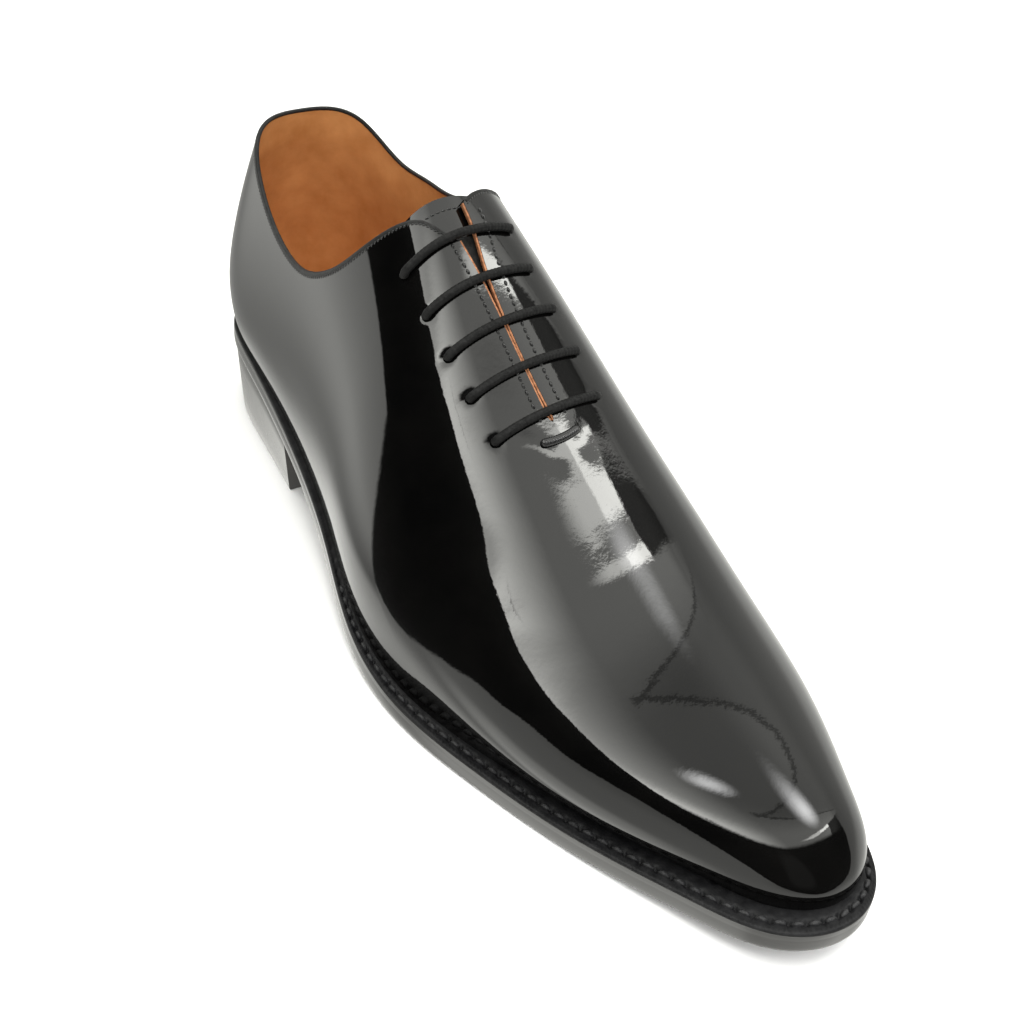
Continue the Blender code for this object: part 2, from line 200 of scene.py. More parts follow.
SOLE_TURNS = by_turn(SOLE_PLAN, 0, SOLE_LENGTH)
SOLE_HALF = curve_through(SOLE_TURNS, 1)
SOLE_CENTRE = curve_through(SOLE_TURNS, 2, 0, 0)
ARCH_HEIGHT = curve_through(ARCH, 1, None, 0)


def underside(station):
    """Height of the outsole's lower face: heel and arch, the flat at the ball, then toe spring."""
    station = np.asarray(station, float)
    share = np.clip((station - FLAT_TO) / (SOLE_LENGTH - FLAT_TO), 0, None)
    spring = TOE_SPRING * share ** TOE_SPRING_POWER
    return np.where(station < FLAT_FROM, ARCH_HEIGHT(np.minimum(station, FLAT_FROM)), spring)


def feather(station):
    """Height of the line where the upper stands on the welt."""
    return underside(station) + OUTSOLE_THICK + WELT_THICK + 2 * GAP


def ridge_rise(row):
    return 0.0 if row[0] == LAST_TIP else row[4] - row[3] - float(feather(row[0]))


LAST_TURNS = by_turn([row[:4] + (ridge_rise(row),) + row[5:] for row in LAST_SECTIONS], LAST_BACK, LAST_TIP)
HALF = curve_through(LAST_TURNS, 1)
CENTRE = curve_through(LAST_TURNS, 2, 0, 0)
GIRTH = curve_through(LAST_TURNS, 3, 0, 0)
RISE = curve_through(LAST_TURNS, 4, 0, None)
SHIFT = curve_through(LAST_TURNS, 5, 0, 0)
FULL_OUTER = curve_through(LAST_TURNS, 6, 0, 0)
FULL_INNER = curve_through(LAST_TURNS, 7, 0, 0)
TUCK_OUTER = curve_through(LAST_TURNS, 8)
TUCK_INNER = curve_through(LAST_TURNS, 9)
EDGE_OUTER = curve_through(by_turn(COLLAR_OUTER, LAST_BACK, LAST_TIP), 1, 0, None)
EDGE_INNER = curve_through(by_turn(COLLAR_INNER, LAST_BACK, LAST_TIP), 1, 0, None)
SLIT_HALF = curve_through(SLIT, 1)
TONGUE_WIDTH = curve_through(TONGUE_HALF, 1)


def last_turn(station):
    return turn_of(station, LAST_BACK, LAST_TIP)


def last_station(turn):
    return LAST_BACK + (LAST_TIP - LAST_BACK) * (1 - np.cos(turn)) / 2


def low_sweep(turn):
    """How far below the widest line the wall reaches the feather edge, as an angle."""
    return np.arcsin(np.minimum(0.97, GIRTH(turn) / np.maximum(RISE(turn), 0.001)))


def last_point(turn, sweep):
    """Points of the last. sweep is 0 on the outer widest line, pi/2 on the ridge, pi on the inner one."""
    turn, sweep = np.broadcast_arrays(np.asarray(turn, float), np.asarray(sweep, float))
    station = last_station(turn)
    up = np.sin(sweep)
    side = np.cos(sweep)
    outer = (1 + side) / 2
    full = FULL_OUTER(turn) * outer + FULL_INNER(turn) * (1 - outer)
    swell = np.where(up > 0, 1 + full * np.sin(2 * sweep) ** 2, 1.0)
    tuck = np.where(side > 0, TUCK_OUTER(turn), -TUCK_INNER(turn))
    sink = np.minimum(1.5, -up / np.maximum(np.sin(low_sweep(turn)), 1e-6))
    y = CENTRE(turn) - HALF(turn) * side * swell + np.where(up > 0, SHIFT(turn) * up ** 3, tuck * sink ** 3)
    z = feather(station) + GIRTH(turn) + RISE(turn) * up * swell
    lean = np.hypot(z - COUNTER_HEIGHT, COUNTER_SOFT) - COUNTER_SOFT
    near_back = ((1 + np.cos(turn)) / 2) ** COUNTER_REACH
    slope = np.where(z > COUNTER_HEIGHT, COUNTER_LEAN, COUNTER_TUCK)
    return np.stack([station + slope * lean * near_back, y, z], -1)


def unit(vectors):
    return vectors / np.maximum(np.linalg.norm(vectors, axis=-1, keepdims=True), 1e-12)


def last_normal(turn, sweep):
    """The direction out of the last."""
    small = 0.002
    turn, sweep = np.broadcast_arrays(np.asarray(turn, float), np.asarray(sweep, float))
    along = last_point(turn + small, sweep) - last_point(np.maximum(0.0, turn - small), sweep)
    across = last_point(turn, sweep + small) - last_point(turn, sweep - small)
    normal = unit(np.cross(along, across))
    return np.where((turn > PI - 0.02)[..., None], np.array([1.0, 0.0, 0.0]), normal)


def on_last(turn, sweep, lift):
    return last_point(turn, sweep) + np.asarray(lift)[..., None] * last_normal(turn, sweep)


def edge_sweep(turn, inner):
    """The sweep where the upper stops: collar, facing, slit with a round end, then the ridge."""
    station = last_station(turn)
    table, curve = (COLLAR_INNER, EDGE_INNER) if inner else (COLLAR_OUTER, EDGE_OUTER)
    closing = np.sqrt(np.clip((THROAT_FRONT - station) / 1.5, 0, 1))
    slit = PI / 2 - SLIT_HALF(np.minimum(station, THROAT_FRONT)) * closing / np.maximum(HALF(turn), 1)
    edge = np.where(station <= table[-1][0], np.radians(curve(turn)), slit)
    return PI - edge if inner else edge


def ring_side(q):
    """A place once round a plan, from the back along the outer side: its turn and its side."""
    q = np.mod(q, 2 * PI)
    return np.where(q <= PI, q, 2 * PI - q), np.where(q <= PI, -1.0, 1.0)


def sole_outline(q):
    turn, side = ring_side(q)
    station = SOLE_LENGTH * (1 - np.cos(turn)) / 2
    return np.stack([station, SOLE_CENTRE(turn) + side * SOLE_HALF(turn)], -1)


def feather_outline(q):
    turn, side = ring_side(q)
    low = low_sweep(turn)
    return last_point(turn, np.where(side < 0, -low, PI + low))[..., :2]


def drawn_in(outline, q, inset, small):
    """A plan's outline drawn in by inset, square to itself."""
    q = np.asarray(q, float)
    along = unit(outline(q + small) - outline(q - small))
    inward = np.stack([-along[..., 1], along[..., 0]], -1)
    return outline(q) + np.asarray(inset)[..., None] * inward


def sole_edge(q, inset=0.0):
    return drawn_in(sole_outline, q, inset, 0.004)


def feather_edge(q, inset=0.0):
    return drawn_in(feather_outline, q, inset, 0.03)


SPAN = sole_outline(np.concatenate([np.linspace(0, PI, 200), PI + np.linspace(0.001, PI, 200)]))[:, 1]
MIDDLE = np.array([SOLE_LENGTH / 2, (SPAN.min() + SPAN.max()) / 2, 0.0])


def placed(points):
    """Millimetres from the back of the sole to metres in the shared frame."""
    return (np.asarray(points, float) - MIDDLE) * MM


def ease(value, low, high):
    share = np.clip((np.asarray(value, float) - low) / (high - low), 0, 1)
    return share * share * (3 - 2 * share)


def hump(distance, breadth):
    return np.exp(-(np.asarray(distance, float) / breadth) ** 2)


def lengths(points):
    return np.concatenate([[0], np.cumsum(np.linalg.norm(np.diff(points, axis=0), axis=1))])


def evenly(turns, sweeps, pitch):
    """Places every pitch along a line on the last."""
    run = lengths(last_point(turns, sweeps))
    at = np.linspace(0, run[-1], int(round(run[-1] / pitch)) + 1)
    return np.interp(at, run, turns), np.interp(at, run, sweeps)


def axes_along(points, normals):
    """Along the line, out of the surface, and to its right."""
    along = unit(np.gradient(points, axis=0))
    out = unit(normals - np.sum(normals * along, -1, keepdims=True) * along)
    return along, out, np.cross(out, along)


# Modelling helpers
def deselect_all():
    bpy.ops.object.select_all(action="DESELECT")


def take(piece):
    deselect_all()
    piece.select_set(True)
    bpy.context.view_layer.objects.active = piece


def shaped_grid(name, points, uv=None):
    """A grid moved point by point onto a form: rows by columns of places in millimetres."""
    rows, columns = points.shape[:2]
    deselect_all()
    bpy.ops.mesh.primitive_grid_add(x_subdivisions=columns - 1, y_subdivisions=rows - 1, size=1)
    piece = bpy.context.object
    piece.name = name
    mesh = piece.data
    mesh.name = name
    flat = np.empty(len(mesh.vertices) * 3)
    mesh.vertices.foreach_get("co", flat)
    flat = np.round(flat.reshape(-1, 3), 6)
    order = np.lexsort((flat[:, 0], flat[:, 1]))
    moved = np.empty_like(flat)
    moved[order] = placed(points.reshape(-1, 3))
    mesh.vertices.foreach_set("co", moved.ravel())
    if uv is not None:
        loops = np.empty(len(mesh.loops), int)
        mesh.loops.foreach_get("vertex_index", loops)
        spread = np.empty((len(flat), 2))
        spread[order] = uv.reshape(-1, 2)
        mesh.uv_layers.active.data.foreach_set("uv", spread[loops].ravel())
    mesh.update()
    return piece


def weld(piece, fill=False):
    """Closes seams and poles, fills open ends where asked, and points the faces outward."""
    take(piece)
    bpy.ops.object.mode_set(mode="EDIT")
    bpy.ops.mesh.select_all(action="SELECT")
    bpy.ops.mesh.remove_doubles(threshold=2e-6)
    bpy.ops.mesh.dissolve_degenerate(threshold=1e-7)
    if fill:
        bpy.ops.mesh.select_all(action="SELECT")
        bpy.ops.mesh.fill_holes(sides=0)
    bpy.ops.mesh.select_all(action="SELECT")
    bpy.ops.mesh.normals_make_consistent(inside=False)
    bpy.ops.object.mode_set(mode="OBJECT")
    return piece


def smooth(piece, angle=40):
    take(piece)
    bpy.ops.object.shade_smooth_by_angle(angle=math.radians(angle))
    return piece


def apply_modifier(piece, kind, **settings):
    take(piece)
    modifier = piece.modifiers.new(kind.lower(), kind)
    for name, value in settings.items():
        setattr(modifier, name, value)
    bpy.ops.object.modifier_apply(modifier=modifier.name)


def dress(piece, slot, *finishes, replaces=()):
    """Gives a finished piece its materials and place on the shoe, and hides the parts it replaces."""
    if not piece.data.materials:
        for finish in finishes:
            piece.data.materials.append(finish)
    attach(piece, "root")
    if replaces:
        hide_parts(*replaces)
    return piece


def tube(name, path, out, radius_out, radius_side, sides, ripple):
    """A cord or bar with round ends along a path; ripple gives the relief of its strands."""
    run = lengths(path)
    along, out, right = axes_along(path, out)
    angle = np.linspace(0, 2 * PI, sides + 1)
    u = run[:, None] + 0 * angle
    relief = 1 + ripple(u, angle[None])
    end = np.minimum(run, run[-1] - run)
    cap = max(radius_out, radius_side)
    round_end = np.sqrt(np.clip(1 - (1 - np.clip(end / cap, 0, 1)) ** 2, 0, 1))
    ring_out = (radius_out * np.cos(angle))[None] * relief * round_end[:, None]
    ring_right = (radius_side * np.sin(angle))[None] * relief * round_end[:, None]
    points = path[:, None] + ring_out[..., None] * out[:, None] + ring_right[..., None] * right[:, None]
    uv = np.stack([u, angle[None] / (2 * PI) + 0 * u], -1)
    return smooth(weld(shaped_grid(name, points, uv)), 60)


def ribbon(name, path, out, section):
    """A strip of one section along a path: section is right and out, in millimetres, or one per place."""
    along, out, right = axes_along(path, out)
    section = np.asarray(section, float)
    if section.ndim == 2:
        section = np.broadcast_to(section, (len(path),) + section.shape)
    points = path[:, None] + section[..., :1] * right[:, None] + section[..., 1:] * out[:, None]
    points = np.concatenate([points, points[:, :1]], 1)
    run = lengths(path)
    uv = np.stack(np.broadcast_arrays(run[:, None], np.arange(points.shape[1])[None]), -1).astype(float)
    return smooth(weld(shaped_grid(name, points, uv), fill=True), 50)


# Height of a stitch over its breadth, and how far its ends bend down
STITCH_FLATNESS = 0.8
STITCH_ARCH = 0.55


def stitch_form():
    """One stitch, an arched grain of thread: its points and faces. Along z, standing out on x."""
    deselect_all()
    bpy.ops.mesh.primitive_uv_sphere_add(segments=8, ring_count=6, radius=1)
    grain = bpy.context.object
    bpy.ops.object.mode_set(mode="EDIT")
    bpy.ops.mesh.select_all(action="SELECT")
    bpy.ops.transform.resize(value=(STITCH_FLATNESS, 1, 1))
    bpy.ops.object.mode_set(mode="OBJECT")
    for vertex in grain.data.vertices:
        vertex.co.x -= STITCH_ARCH * vertex.co.z ** 2
    points = np.array([vertex.co for vertex in grain.data.vertices])
    faces = [tuple(face.vertices) for face in grain.data.polygons]
    bpy.data.objects.remove(grain, do_unlink=True)
    return points, faces


STITCH = stitch_form()


def stitches(name, rows, length, radius, lift):
    """Rows of stitches in one mesh: each row is places, directions along and directions out."""
    form, form_faces = STITCH
    points = []
    faces = []
    for places, along, out in rows:
        side = np.cross(along, out)
        for place, t, n, b in zip(places, along, out, side):
            start = len(points) * len(form)
            grain = place + (lift + form[:, :1] * radius) * n
            points.append(grain + form[:, 1:2] * radius * b + form[:, 2:] * length / 2 * t)
            faces.extend(tuple(start + i for i in face) for face in form_faces)
    mesh = bpy.data.meshes.new(name)
    mesh.from_pydata(placed(np.concatenate(points)).tolist(), [], faces)
    mesh.update()
    piece = bpy.data.objects.new(name, mesh)
    bpy.context.scene.collection.objects.link(piece)
    return smooth(piece, 80)


def stitch_row(turns, sweeps, pitch):
    """Places for stitches along a line on the last."""
    turn, sweep = evenly(turns, sweeps, pitch)
    points = last_point(turn, sweep)
    along, out, right = axes_along(points, last_normal(turn, sweep))
    return points, along, out


# Finishes
class Look:
    """A material and short ways to add its nodes."""

    def __init__(self, name, **sockets):
        self.material = bpy.data.materials.new(name)
        self.material.use_nodes = True
        self.nodes = self.material.node_tree.nodes
        self.links = self.material.node_tree.links
        self.shader = self.nodes["Principled BSDF"]
        for socket, value in sockets.items():
            self.shader.inputs[socket.replace("_", " ")].default_value = value
        self.place = self.nodes.new("ShaderNodeTexCoord").outputs["Object"]
        self.height = None

    def noise(self, scale, detail=3.0, stretch=None):
        node = self.nodes.new("ShaderNodeTexNoise")
        node.inputs["Scale"].default_value = scale
        node.inputs["Detail"].default_value = detail
        node.inputs["Roughness"].default_value = 0.55
        source = self.place
        if stretch:
            mapping = self.nodes.new("ShaderNodeMapping")
            mapping.inputs["Scale"].default_value = stretch
            self.links.new(source, mapping.inputs["Vector"])
            source = mapping.outputs["Vector"]
        self.links.new(source, node.inputs["Vector"])
        return node.outputs["Fac"]

    def cells(self, scale):
        node = self.nodes.new("ShaderNodeTexVoronoi")
        node.inputs["Scale"].default_value = scale
        self.links.new(self.place, node.inputs["Vector"])
        return node.outputs["Distance"]

    def colour(self, value, dark, light):
        """Colours by a value; dark and light each give a value and its colour."""
        node = self.nodes.new("ShaderNodeValToRGB")
        for stop, (at, colour) in zip(node.color_ramp.elements, (dark, light)):
            stop.position = at
            stop.color = (*colour, 1)
        self.links.new(value, node.inputs["Fac"])
        self.links.new(node.outputs["Color"], self.shader.inputs["Base Color"])

    def gloss(self, value, low, high):
        """Lets the roughness run from low to high."""
        node = self.nodes.new("ShaderNodeMapRange")
        node.inputs["To Min"].default_value = low
        node.inputs["To Max"].default_value = high
        self.links.new(value, node.inputs["Value"])
        self.links.new(node.outputs["Result"], self.shader.inputs["Roughness"])

    def relief(self, value, depth, coat=False):
        """Raises the surface by depth in millimetres; a second call adds to the first."""
        node = self.nodes.new("ShaderNodeBump")
        node.inputs["Distance"].default_value = depth * MM
        self.links.new(value, node.inputs["Height"])
        if self.height is not None:
            self.links.new(self.height, node.inputs["Normal"])
        self.height = node.outputs["Normal"]
        self.links.new(self.height, self.shader.inputs["Normal"])
        if coat:
            self.links.new(self.height, self.shader.inputs["Coat Normal"])


def patent_leather():
    look = Look("patent_black", Specular_IOR_Level=0.02, Coat_Weight=1.0, Coat_Roughness=0.02, Coat_IOR=1.52)
    look.colour(look.noise(60), (0.35, (0.0005, 0.0005, 0.0005)), (0.7, (0.0014, 0.0013, 0.0012)))
    look.gloss(look.noise(220), 0.3, 0.42)
    look.relief(look.noise(750, 2.0), 0.006, True)
    look.relief(look.noise(110, 1.0), 0.02, True)
    return look.material


def edge_ink(name, dark, light):
    """Polished ink on a cut edge, with faint streaks along it."""
    look = Look(name, Specular_IOR_Level=0.1, Coat_Weight=1.0, Coat_Roughness=0.14, Coat_IOR=1.5)
    look.colour(look.noise(120, stretch=(0.3, 0.3, 3.0)), (0.3, dark), (0.7, light))
    look.gloss(look.noise(160), 0.3, 0.45)
    look.relief(look.noise(500, stretch=(0.4, 0.4, 3.0)), 0.008, True)
    return look.material


def dull_finish(name, specular, tint, dark, light, shine, grain=None, pores=None):
    """A finish without a coat.

    tint is the scale and detail of the noise that mixes dark and light. shine is the scale of another noise,
    and the roughness from low to high. grain is the scale, detail and depth of a rough relief, and pores the
    scale and depth of small cells.
    """
    look = Look(name, Specular_IOR_Level=specular)
    look.colour(look.noise(*tint), dark, light)
    look.gloss(look.noise(shine[0]), *shine[1:])
    if grain:
        look.relief(look.noise(*grain[:2]), grain[2])
    if pores:
        look.relief(look.cells(pores[0]), pores[1])
    return look.material


PATENT = patent_leather()
EDGE = edge_ink("edge_black", (0.014, 0.0135, 0.0125), (0.026, 0.025, 0.0235))
# The heel's ink is the edge ink made lighter: the ink is real, the extra lightness is painted light on the
# heel's side
HEEL_INK_PAINTED_LIGHT = edge_ink("heel_black_painted_light", (0.042, 0.04, 0.037), (0.052, 0.05, 0.046))
LINING = dull_finish("lining_tan", 0.35, (85, 4.0), (0.3, (0.44, 0.18, 0.055)), (0.7, (0.6, 0.28, 0.1)),
                     (300, 0.5, 0.66), pores=(1500, 0.03))
RAW_EDGE = dull_finish("raw_edge_tan", 0.2, (900, 4.0), (0.3, (0.17, 0.07, 0.034)),
                       (0.7, (0.42, 0.19, 0.095)), (300, 0.85, 0.85), grain=(1600, 4.0, 0.12))
BINDING = dull_finish("binding_black", 0.4, (500, 4.0), (0.3, (0.004, 0.004, 0.004)),
                      (0.72, (0.012, 0.012, 0.0115)), (700, 0.45, 0.62), pores=(2200, 0.06))
THREAD = dull_finish("thread_black", 0.8, (1500, 3.0), (0.3, (0.006, 0.006, 0.006)),
                     (0.7, (0.016, 0.016, 0.016)), (900, 0.2, 0.36))
WELT_THREAD = dull_finish("thread_charcoal", 0.45, (1300, 3.0), (0.3, (0.008, 0.008, 0.0085)),
                          (0.7, (0.028, 0.028, 0.029)), (900, 0.45, 0.62), grain=(2600, 3.0, 0.08))
WELT = dull_finish("welt_black", 0.22, (400, 4.0), (0.3, (0.005, 0.005, 0.0055)),
                   (0.72, (0.015, 0.015, 0.0155)), (350, 0.42, 0.62), grain=(1500, 4.0, 0.09))
CORD = dull_finish("lace_black", 0.25, (900, 3.0), (0.3, (0.003, 0.003, 0.003)),
                   (0.7, (0.01, 0.01, 0.0097)), (700, 0.55, 0.72), grain=(2400, 3.0, 0.08))
SOLE = dull_finish("sole_black", 0.4, (70, 4.0), (0.3, (0.012, 0.011, 0.0105)),
                   (0.72, (0.03, 0.027, 0.025)), (180, 0.34, 0.5), grain=(700, 4.0, 0.05))


# The upper
# Rows of its grid behind the facings, along the slit and over the vamp, and columns down each side
FACINGS_FROM = 96
REAR_ROWS = 92
SLIT_ROWS = 90
VAMP_ROWS = 112
SIDE_COLUMNS = 52
# Spacing of the columns at the topline over their mean spacing, and how far the foot sinks to the welt
EDGE_SPACING = 0.35
FOOT_DROP = 0.25
# How far behind the throat's end the slit stops
SLIT_STOP = 0.2


def leather_lift(turn, sweep):
    """How far the leather stands off the last: lace hollows, and the listed soft creases."""
    station = last_station(turn)
    inward = (sweep - PI / 2) * HALF(turn)
    lift = np.zeros(np.broadcast(station, inward).shape)
    for outer_station, outer_half, inner_station, inner_half in LACE_BARS:
        for hole_station, hole_inward in ((outer_station, -outer_half), (inner_station, inner_half)):
            away = np.hypot(station - hole_station, inward - hole_inward)
            lift -= EYELET_DEPTH * hump(away, EYELET_BREADTH)
    for places, breadth, height in CREASES:
        away = np.full(lift.shape, np.inf)
        for (s1, o1), (s2, o2) in zip(places, places[1:]):
            run = np.array([s2 - s1, o2 - o1])
            share = np.clip(((station - s1) * run[0] + (inward - o1) * run[1]) / (run @ run), 0, 1)
            away = np.minimum(away, np.hypot(station - s1 - share * run[0], inward - o1 - share * run[1]))
        lift += height * hump(away, breadth)
    return lift


def make_upper():
    facing_turn = float(last_turn(FACINGS_FROM))
    throat_turn = float(last_turn(THROAT_FRONT))
    turns = np.concatenate([
        np.linspace(0, facing_turn, REAR_ROWS, endpoint=False),
        np.linspace(facing_turn, throat_turn, SLIT_ROWS, endpoint=False),
        np.linspace(throat_turn, PI, VAMP_ROWS),
    ])
    share = np.linspace(0, 1, SIDE_COLUMNS + 1)
    share = EDGE_SPACING * share + (1 - EDGE_SPACING) * share ** 2
    low = low_sweep(turns)
    halves = []
    for inner in (False, True):
        edge = edge_sweep(turns, inner)[:, None]
        foot = (PI + low if inner else -low)[:, None]
        halves.append(edge + (foot - edge) * share)
    sweeps = np.concatenate([halves[0][:, ::-1], halves[1]], 1)
    turn = turns[:, None] + 0 * sweeps
    points = on_last(turn, sweeps, leather_lift(turn, sweeps))
    points[:, [0, -1], 2] -= FOOT_DROP
    points[-1] = points[-1, SIDE_COLUMNS]
    upper = shaped_grid("upper_leather", points)
    open_slit(upper)
    weld(upper)
    face_outward(upper)
    thin_collar(upper)
    line_sheet(upper, WALL, vertex_group="wall")
    dress(upper, "upper", replaces=("upper",))


def open_slit(piece):
    """Takes out the strip of faces between the two facing edges, back of the throat's end."""
    strips = 2 * SIDE_COLUMNS + 1
    front = float(placed(last_point(last_turn(THROAT_FRONT - SLIT_STOP), PI / 2))[0])
    take(piece)
    bpy.ops.object.mode_set(mode="EDIT")
    bpy.ops.mesh.select_all(action="DESELECT")
    bpy.ops.object.mode_set(mode="OBJECT")
    for face in piece.data.polygons:
        face.select = face.index % strips == SIDE_COLUMNS and face.center.x < front
    bpy.ops.object.mode_set(mode="EDIT")
    bpy.ops.mesh.delete(type="FACE")
    bpy.ops.object.mode_set(mode="OBJECT")


def face_outward(piece):
    """Turns an open sheet so that its faces look away from the middle of the shoe."""
    middle = np.array([0.02, 0.0, 0.03])
    total = 0.0
    for face in piece.data.polygons:
        total += float(np.dot(np.array(face.center) - middle, face.normal)) * face.area
    if total < 0:
        take(piece)
        bpy.ops.object.mode_set(mode="EDIT")
        bpy.ops.mesh.select_all(action="SELECT")
        bpy.ops.mesh.flip_normals()
        bpy.ops.object.mode_set(mode="OBJECT")


def line_sheet(piece, thick, **settings):
    """Gives a sheet its thickness inward: patent outside, lining inside, and a bound edge."""
    for finish in (PATENT, LINING, BINDING):
        piece.data.materials.append(finish)
    apply_modifier(piece, "SOLIDIFY", thickness=thick * MM, offset=-1.0, material_offset=1,
                   material_offset_rim=2, **settings)
    smooth(piece, 50)


def collar_thinning(station):
    """How far the leather is pared down at the topline: 1 round the heel, 0 at the facings."""
    return 1 - ease(station, *PARED_FADE)


def thin_collar(piece):
    """Pares the wall toward the topline, as a share of its thickness."""
    line = placed(collar_places(2.0)[0])
    group = piece.vertex_groups.new(name="wall")
    for vertex in piece.data.vertices:
        place = np.array(vertex.co)
        away = np.min(np.linalg.norm(line - place, axis=1)) / MM
        pared = collar_thinning(place[0] / MM + MIDDLE[0]) * (1 - ease(away, 0, PARED_DEPTH))
        group.add([vertex.index], 1 - PARED_SHARE * pared, "REPLACE")


# The binding: outer and inner station of its ends, its width on the outer face at the ends and at the heel,
# and the distances from an end between which it widens
BINDING_ENDS = (120.0, 111.0)
BINDING_WIDTHS = (1.0, 1.4)
BINDING_WIDENS = (6, 38)

# Its section over the topline: share of its width or rise above the edge, share of the wall or height
BINDING_SECTION = ((1, 0.0), (1.0, 0.14), (0.6, 0.2), (0.2, 0.18), (0, 0.05), (-0.22, -0.3), (-0.22, -0.7),
                   (0, -1.05), (0.2, -1.14), (0.4, -1.14), (0.5, -1.1), (0.5, -1.0))

# The stitches below it: distance from it, and slant
COLLAR_ROW_BELOW = 0.2
COLLAR_ROW_SLANT = 0.55


def collar_places(pitch):
    """Even places along the topline with their normals, from the outer facing round the back to the inner."""
    outer = np.linspace(float(last_turn(BINDING_ENDS[0])), 0, 160)
    inner = np.linspace(0, float(last_turn(BINDING_ENDS[1])), 160)[1:]
    turns = np.concatenate([outer, inner])
    sweeps = np.concatenate([edge_sweep(outer, False), edge_sweep(inner, True)])
    points = last_point(turns, sweeps)
    normals = last_normal(turns, sweeps)
    run = lengths(points)
    at = np.linspace(0, run[-1], int(round(run[-1] / pitch)) + 1)
    points = np.stack([np.interp(at, run, points[:, i]) for i in range(3)], -1)
    normals = unit(np.stack([np.interp(at, run, normals[:, i]) for i in range(3)], -1))
    return points, normals, at


def binding_width(run):
    narrow, wide = BINDING_WIDTHS
    return narrow + (wide - narrow) * ease(np.minimum(run, run[-1] - run), *BINDING_WIDENS)


def make_binding():
    points, normals, run = collar_places(1.2)
    width = binding_width(run)
    edge_wall = WALL * (1 - PARED_SHARE * collar_thinning(points[:, 0]))
    section = np.zeros((len(run), len(BINDING_SECTION), 2))
    for i, (down, out) in enumerate(BINDING_SECTION):
        section[:, i, 0] = down * (width if down > 0 else 1)
        section[:, i, 1] = out * (edge_wall if out < 0 else 1)
    dress(ribbon("collar_binding", points, normals, section), "upper", BINDING)


def make_collar_stitches():
    pitch, length, radius = COLLAR_STITCH
    places, normals, run = collar_places(pitch)
    along, out, right = axes_along(places, normals)
    row = places + (binding_width(run) + COLLAR_ROW_BELOW)[:, None] * right
    along = unit(along + COLLAR_ROW_SLANT * right)
    dress(stitches("collar_stitches", [(row, along, out)], length, radius, STITCH_LIFT), "upper", THREAD)


# Raw edges along the slit: piece, whether inner, first station, and section as distance into the slit, height
RAW_EDGES = (
    ("facing_edge_outer", False, 121.3,
     ((-0.2, -0.12), (0.12, -0.1), (0.6, -0.22), (0.7, -0.45), (0.55, -1.8), (-0.2, -1.8))),
    ("facing_edge_inner", True, 111.8,
     ((-0.2, -0.2), (0.15, -0.2), (0.45, -0.35), (0.5, -1.3), (0.3, -1.6), (-0.2, -1.6))),
)
# How far behind the throat's end they stop, and the distance between their rows
RAW_EDGE_STOP = 0.6
RAW_EDGE_PITCH = 0.8

# Rows of stitches beside the slit: whether inner, first and last station, distance from the slit
FACING_ROWS = ((False, 122.0, 167.5, 2.6), (True, 114.0, 167.0, 4.4))


def slit_line(inner, start, end, aside):
    """A line along the slit, aside from its edge by a distance in millimetres."""
    turns = np.linspace(float(last_turn(start)), float(last_turn(end)), 80)
    edge = edge_sweep(turns, inner)
    away = aside / HALF(turns)
    return turns, edge + away if inner else edge - away


def make_facings():
    """The raw tan edges of the slit, and the stitched rows beside it."""
    for name, inner, start, section in RAW_EDGES:
        line = slit_line(inner, start, THROAT_FRONT - RAW_EDGE_STOP, 0.0)
        turn, sweep = evenly(*line, RAW_EDGE_PITCH)
        section = np.array(section) * (-1 if inner else 1, 1)
        dress(ribbon(name, last_point(turn, sweep), last_normal(turn, sweep), section), "upper", RAW_EDGE)
    pitch, length, radius = FACING_STITCH
    rows = [stitch_row(*slit_line(*row), pitch) for row in FACING_ROWS]
    dress(stitches("facing_stitches", rows, length, radius, STITCH_LIFT), "upper", THREAD)


# The bar tack: station of its middle, half length, bend and slant, height over the leather,
# radius up and aside, and the pitch and relief of its thread
TACK_STATION = 173.2
TACK_HALF = 6.6
TACK_BEND = 0.8
TACK_SLANT = 0.09
TACK_LIFT = 0.35
TACK_RADII = (0.85, 1.25)
TACK_PITCH = 0.8
TACK_RELIEF = 0.05


def make_bar_tack():
    """The short thick bar of thread that closes the foot of the slit."""
    def twist(u, angle):
        return TACK_RELIEF * np.sin(2 * PI * u / TACK_PITCH + 2 * angle)

    inward = np.linspace(-TACK_HALF, TACK_HALF, 60)
    turn = last_turn(TACK_STATION - TACK_BEND * (inward / TACK_HALF) ** 2 - TACK_SLANT * inward)
    sweep = PI / 2 + inward / HALF(turn)
    path = on_last(turn, sweep, TACK_LIFT + 0 * inward)
    dress(tube("bar_tack", path, last_normal(turn, sweep), *TACK_RADII, 14, twist), "upper", THREAD)


# The tongue: the station from which its face is matt black as painted shade under the facings, and its row of
# stitches near the top
TONGUE_PAINTED_SHADE_FROM = 119.5
TONGUE_ROW_DOWN = 3.4
TONGUE_ROW_HALF = 15
TONGUE_STITCH_LIFT = 0.05


def make_tongue():
    stations = np.linspace(TONGUE_BACK, TONGUE_FRONT, 60)
    turns = last_turn(stations)
    half = TONGUE_WIDTH(stations) / HALF(turns)
    sweeps = PI / 2 + half[:, None] * np.linspace(-1, 1, 41)[None]
    turn = turns[:, None] + 0 * sweeps
    points = on_last(turn, sweeps, -(WALL + TONGUE_GAP) + 0 * sweeps)
    tongue = weld(shaped_grid("tongue_leather", points))
    face_outward(tongue)
    line_sheet(tongue, TONGUE_THICK)
    # Painted shade: from this station forward the tongue's outer face takes the binding's matt black in place
    # of patent, where the facings shade it
    painted_shade_from = placed(np.array([TONGUE_PAINTED_SHADE_FROM, 0, 0]))[0]
    for face in tongue.data.polygons:
        if face.material_index == 0 and face.center.x > painted_shade_from:
            face.material_index = 2
    dress(tongue, "tongue", replaces=("tongue",))


